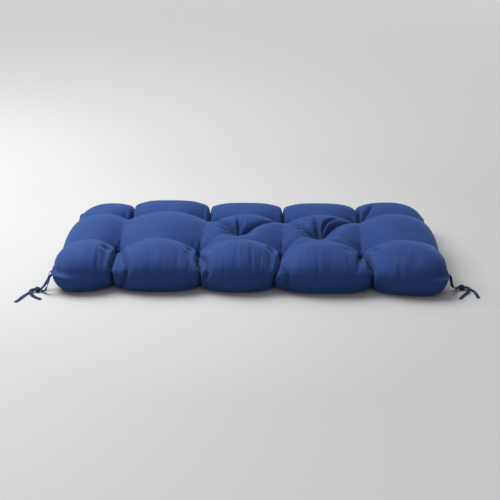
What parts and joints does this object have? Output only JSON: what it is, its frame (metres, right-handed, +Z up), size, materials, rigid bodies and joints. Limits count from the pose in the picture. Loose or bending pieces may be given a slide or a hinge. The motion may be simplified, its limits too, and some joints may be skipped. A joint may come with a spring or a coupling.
{
  "type": "bench cushion",
  "caption": "Tufted bench cushion in plain woven cloth, filled, with deep bulges between its tufts and a pair of knotted tie tapes at each front corner.",
  "frame": {"origin": "on the surface the cushion lies on, under the middle of the cushion's own box", "axes": "+X along the cushion's length, -Y out of its front edge, +Z up through its thickness"},
  "size_m": [1.2795, 0.5804, 0.1268],
  "materials": {
    "cover": "plain woven cloth, matte with a soft sheen",
    "tape": "folded and stitched tape of the same cloth"
  },
  "bodies": {
    "root": {"cushion": "cover", "tie_left_a": "tape", "tie_left_b": "tape", "tie_right_a": "tape", "tie_right_b": "tape", "knot_left": "tape", "knot_right": "tape"}
  },
  "joints": []
}
